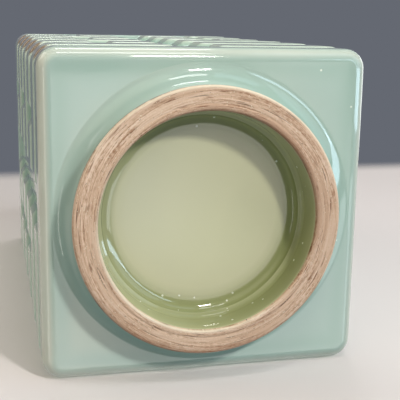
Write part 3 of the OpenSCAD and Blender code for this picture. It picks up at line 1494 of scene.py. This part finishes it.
@dataclass(frozen=True)
class SeamCoils(Piece):
    """The clay coils thumbed into the four inner corners."""

    radius: float = 5.0
    press: float = 0.45
    press_pitch: float = 17.0
    rows: int = 90
    segments: int = 12
    turn_step: float = 0.01
    depth: float = 0.7

    def face(self, corner: Corner, height: Array, angle: Array) -> Array:
        """Places points on the thumbed face of a coil.

        Args:
            corner: The corner that it lies in.
            height: Heights of the points.
            angle: Directions from the corner, in radians.

        Returns:
            The points.
        """
        wave = np.sin(2 * math.pi * height / self.press_pitch + corner.value)
        thumbed = self.radius - self.press * (1 + wave) / 2
        corner_x, corner_y = thumbed * np.cos(angle), thumbed * np.sin(angle)
        x, y = turned(corner_x - self.body.inner_half, corner_y - self.body.inner_half, corner.value)
        return self.form(x, y, height)

    def build(self, corner: Corner) -> None:
        """Makes the coil of one corner.

        Args:
            corner: The corner.
        """
        rows = np.linspace(self.body.shoulder_z, self.body.base_top_z, self.rows)
        loop = np.linspace(0.0, math.pi / 2, self.segments + 1)
        points, normals = sample(partial(self.face, corner), rows, loop, -SECTION_STEP, self.turn_step)
        x, y = turned(-self.body.inner_half, -self.body.inner_half, corner.value)
        root = self.form(x, y, rows[:, None])
        middle = self.segments // 2
        root_normal = -normals[:, middle:middle + 1]
        loft = Loft(np.hstack((points, root)), np.hstack((normals, root_normal)), np.array(self.depth),
                    np.array(0), ring=False)
        make_piece(f"{corner.name.lower()}_seam_coil", [loft], [self.finishes.inner])


def looking(place: Vector, back: Vector, right: Vector) -> Matrix:
    """Placement of a lamp or a camera that looks away from back and has its width along right."""
    turn = Matrix((right, back.cross(right), back)).transposed()
    return Matrix.Translation(place) @ turn.to_4x4()


@dataclass(frozen=True)
class Lamp:
    """A soft box: its place, size and power, the way its width runs, its colour, and what it shows in."""

    name: str
    place: Point
    width: float
    height: float
    power: float
    along: Point = (1.0, 0.0, 0.0)
    colour: Colour = WHITE
    lit: bool = True
    mirrored: bool = True

    def hang(self, aim: Vector) -> None:
        """Makes the lamp.

        Args:
            aim: The point that it is turned to.
        """
        data = bpy.data.lights.new(self.name, "AREA")
        data.shape = "RECTANGLE"
        data.size = self.width
        data.size_y = self.height
        data.energy = self.power
        data.color = self.colour
        lamp = bpy.data.objects.new(self.name, data)
        back = (Vector(self.place) - aim).normalized()
        right = (Vector(self.along) - back * back.dot(Vector(self.along))).normalized()
        lamp.matrix_world = looking(Vector(self.place), back, right)
        lamp.visible_camera = False
        lamp.visible_diffuse = self.lit
        lamp.visible_glossy = self.mirrored
        bpy.context.scene.collection.objects.link(lamp)


@dataclass(frozen=True)
class Floor:
    """A plain pale floor, seen only from the side that the vase is on, fading away between two heights."""

    name: str
    corners: tuple[Point, ...]
    colour: Colour
    fade: tuple[float, float]
    mirrored: bool = False

    def material(self) -> bpy.types.Material:
        """Makes the matt finish.

        Returns:
            The material.
        """
        material, graph = new_material(self.name)
        place = graph.add("TexCoord").outputs["Object"]
        height = graph.add("SeparateXYZ", {0: place}).outputs["Z"]
        low, high = self.fade
        share = graph.add("MapRange", {"Value": height, "From Min": low, "From Max": high},
                          interpolation_type="SMOOTHSTEP").outputs[0]
        matt = graph.add("BsdfDiffuse", {"Color": (*self.colour, 1.0)})
        clear = graph.add("BsdfTransparent")
        behind = graph.add("NewGeometry").outputs["Backfacing"]
        unseen = graph.math("MAXIMUM", behind, share)
        shown = graph.add("MixShader", {0: unseen, 1: matt.outputs[0], 2: clear.outputs[0]})
        graph.add("OutputMaterial", {"Surface": shown.outputs[0]})
        return material

    def lay(self) -> None:
        """Makes the floor, which takes shadows and throws none."""
        mesh = bpy.data.meshes.new(self.name)
        mesh.from_pydata(self.corners, [], [tuple(range(len(self.corners)))])
        mesh.materials.append(self.material())
        floor = bpy.data.objects.new(self.name, mesh)
        floor.visible_shadow = False
        floor.visible_diffuse = False
        floor.visible_glossy = self.mirrored
        bpy.context.scene.collection.objects.link(floor)


@dataclass(frozen=True)
class PhotoCamera:
    """The camera of the photograph: it looks up at the foot of the vase, which lies on its back there."""

    place: Point = (-83.5, -76.8, -308.8)
    aim: Point = (-4.7, -7.8, 7.0)
    up: Point = (0.0326, -0.9781, 0.2054)
    lens: float = 76.8
    sensor: float = 36.0
    nearest: float = 0.01

    def set_up(self) -> None:
        """Makes the camera."""
        data = bpy.data.cameras.new("photo_camera")
        data.lens = self.lens
        data.sensor_width = self.sensor
        data.clip_start = self.nearest
        camera = bpy.data.objects.new("photo_camera", data)
        back = (Vector(self.place) - Vector(self.aim)).normalized()
        right = Vector(self.up).cross(back).normalized()
        camera.matrix_world = looking(Vector(self.place) * MM, back, right)
        bpy.context.scene.collection.objects.link(camera)
        bpy.context.scene.camera = camera


@dataclass(frozen=True)
class Studio:
    """Plain soft light, a pale floor under the vase standing and one behind it, and a grey backdrop."""

    body: Body
    ambient: Colour = (0.128, 0.126, 0.118)
    backdrop: Colour = linear(101, 105, 114)
    paper: Colour = linear(240, 233, 229)
    table: Colour = linear(224, 216, 214)
    aim: Point = (0.0, 0.0, 0.02)
    reach: float = 3.0
    apron: float = 0.03
    table_fade: tuple[float, float] = (0.45, 0.51)
    paper_fade: tuple[float, float] = (1.0, 2.0)

    def set_up(self) -> None:
        """Makes the world, the lamps and the floors."""
        scene = bpy.context.scene
        scene.view_settings.view_transform = "Standard"
        scene.world = bpy.data.worlds.new("studio")
        scene.world.use_nodes = True
        graph = Graph(scene.world.node_tree)
        path = graph.add("LightPath").outputs
        seen = graph.math("MAXIMUM", path["Is Camera Ray"],
                          graph.math("MAXIMUM", path["Is Glossy Ray"], path["Is Transmission Ray"]))
        colour = graph.mix(seen, self.ambient, self.backdrop)
        light = graph.add("Background", {"Color": colour, "Strength": 1.0})
        graph.add("OutputWorld", {"Surface": light.outputs[0]})
        for lamp in self.lamps():
            lamp.hang(Vector(self.aim))
        for floor in self.floors():
            floor.lay()

    def lamps(self) -> list[Lamp]:
        """Lists the lamps. Some only light, as the key does, and some only show as a shine in the glaze.

        Returns:
            The lamps.
        """
        return [
            Lamp("key", (0.46, -0.74, -0.95), 0.12, 0.12, 9.25, colour=(1.0, 0.98, 0.96), mirrored=False),
            Lamp("spot", (0.25, -0.81, -0.97), 0.15, 0.14, 6.6, colour=WARM, lit=False),
            Lamp("front_card", (0.26, 0.27, -1.0), 0.52, 0.57, 2.2, colour=(1.0, 0.95, 0.93), lit=False),
            Lamp("right_card", (0.80, 0.36, -0.80), 0.45, 0.34, 1.5, (0.7, 0.0, 0.7), (0.94, 0.98, 1.0),
                 lit=False),
            Lamp("ceiling_front", (0.09, -1.0, -0.40), 0.34, 0.18, 1.8),
            Lamp("ceiling_back", (0.09, -1.0, 0.40), 0.34, 0.18, 1.8),
            Lamp("window_sill", (0.823, 0.025, -0.568), 0.68, 0.12, 2.4, (0.0, 0.0, 1.0), SKY, lit=False),
            Lamp("window_jamb", (0.60, -0.20, -0.90), 0.47, 0.13, 1.4, (0.51, 0.86, 0.0), SKY, lit=False),
            Lamp("window_pane", (0.85, -0.35, -0.45), 0.70, 0.60, 2.2, (0.0, 0.0, 1.0), SKY),
            Lamp("window_head", (0.50, -0.88, -0.35), 0.40, 0.45, 0.9, colour=SKY),
            Lamp("left_front", (-0.45, -0.80, -0.65), 1.0, 0.9, 3.0, colour=AMBER),
            Lamp("left_card", (-0.85, 0.22, -0.52), 0.55, 0.10, 0.8, (0.0, 1.0, 0.0), WARM),
            Lamp("left_high", (-0.8, -0.7, 0.35), 0.6, 0.6, 2.6, colour=WARM),
            Lamp("low_fill", (-0.25, 0.85, -0.75), 0.6, 0.6, 2.2, colour=SKY, mirrored=False),
            Lamp("overhead", (0.35, -0.45, 1.5), 1.6, 0.8, 0.4),
            Lamp("top_fill", (0.0, -1.2, 0.7), 0.8, 0.8, 2.0, mirrored=False),
            Lamp("right_high", (0.95, 0.0, 0.65), 0.8, 0.8, 3.8),
            Lamp("back_right", (0.6, 1.1, 0.6), 0.8, 0.8, 9.0),
            Lamp("back_left", (-0.75, 0.95, 0.75), 0.8, 0.8, 6.5),
        ]

    def floors(self) -> list[Floor]:
        """Lists the floors: two under the vase as it lies in the photograph, one under it as it stands.

        Returns:
            The floors.
        """
        back = CAD_BOX[1].y
        far = self.reach
        near = self.apron
        foot = self.body.base_z * MM
        lying = ((-far, back, foot), (far, back, foot), (far, back, far), (-far, back, far))
        apron = ((-far, back, -near), (far, back, -near), (far, back, foot), (-far, back, foot))
        standing = ((-far, -far, 0.0), (far, -far, 0.0), (far, far, 0.0), (-far, far, 0.0))
        return [Floor("floor_lying", lying, self.table, self.table_fade, mirrored=True),
                Floor("floor_apron", apron, self.table, self.table_fade),
                Floor("floor_standing", standing, self.paper, self.paper_fade)]


def main() -> None:
    """Builds the vase piece by piece, then the studio and the camera."""
    logging.basicConfig(level=logging.INFO, format="%(name)s: %(message)s")
    body = Body.from_frame()
    shared = (body, HandForming(body), Finishes.fire())
    relief = Relief(body)
    order = {
        Corner.FRONT_LEFT: (Trigram.FIRE, Trigram.WATER),
        Corner.FRONT_RIGHT: (Trigram.HEAVEN, Trigram.EARTH),
        Corner.BACK_RIGHT: (Trigram.THUNDER, Trigram.WIND),
        Corner.BACK_LEFT: (Trigram.LAKE, Trigram.MOUNTAIN),
    }
    for corner, pair in order.items():
        for tier, trigram in zip(Tier, pair):
            relief.lay(corner, tier, trigram)
    FootRing(*shared).build()
    BaseSlab(*shared).build()
    walls = Walls(*shared, relief)
    for side in Side:
        walls.build(side)
    coils = SeamCoils(*shared)
    for corner in Corner:
        coils.build(corner)
    ShoulderSlab(*shared).build()
    Neck(*shared).build()
    trigrams = Trigrams(*shared, relief)
    for corner in Corner:
        for tier in Tier:
            trigrams.build(corner, tier)
    PhotoCamera().set_up()
    Studio(body).set_up()


if __name__ == "__main__":
    main()
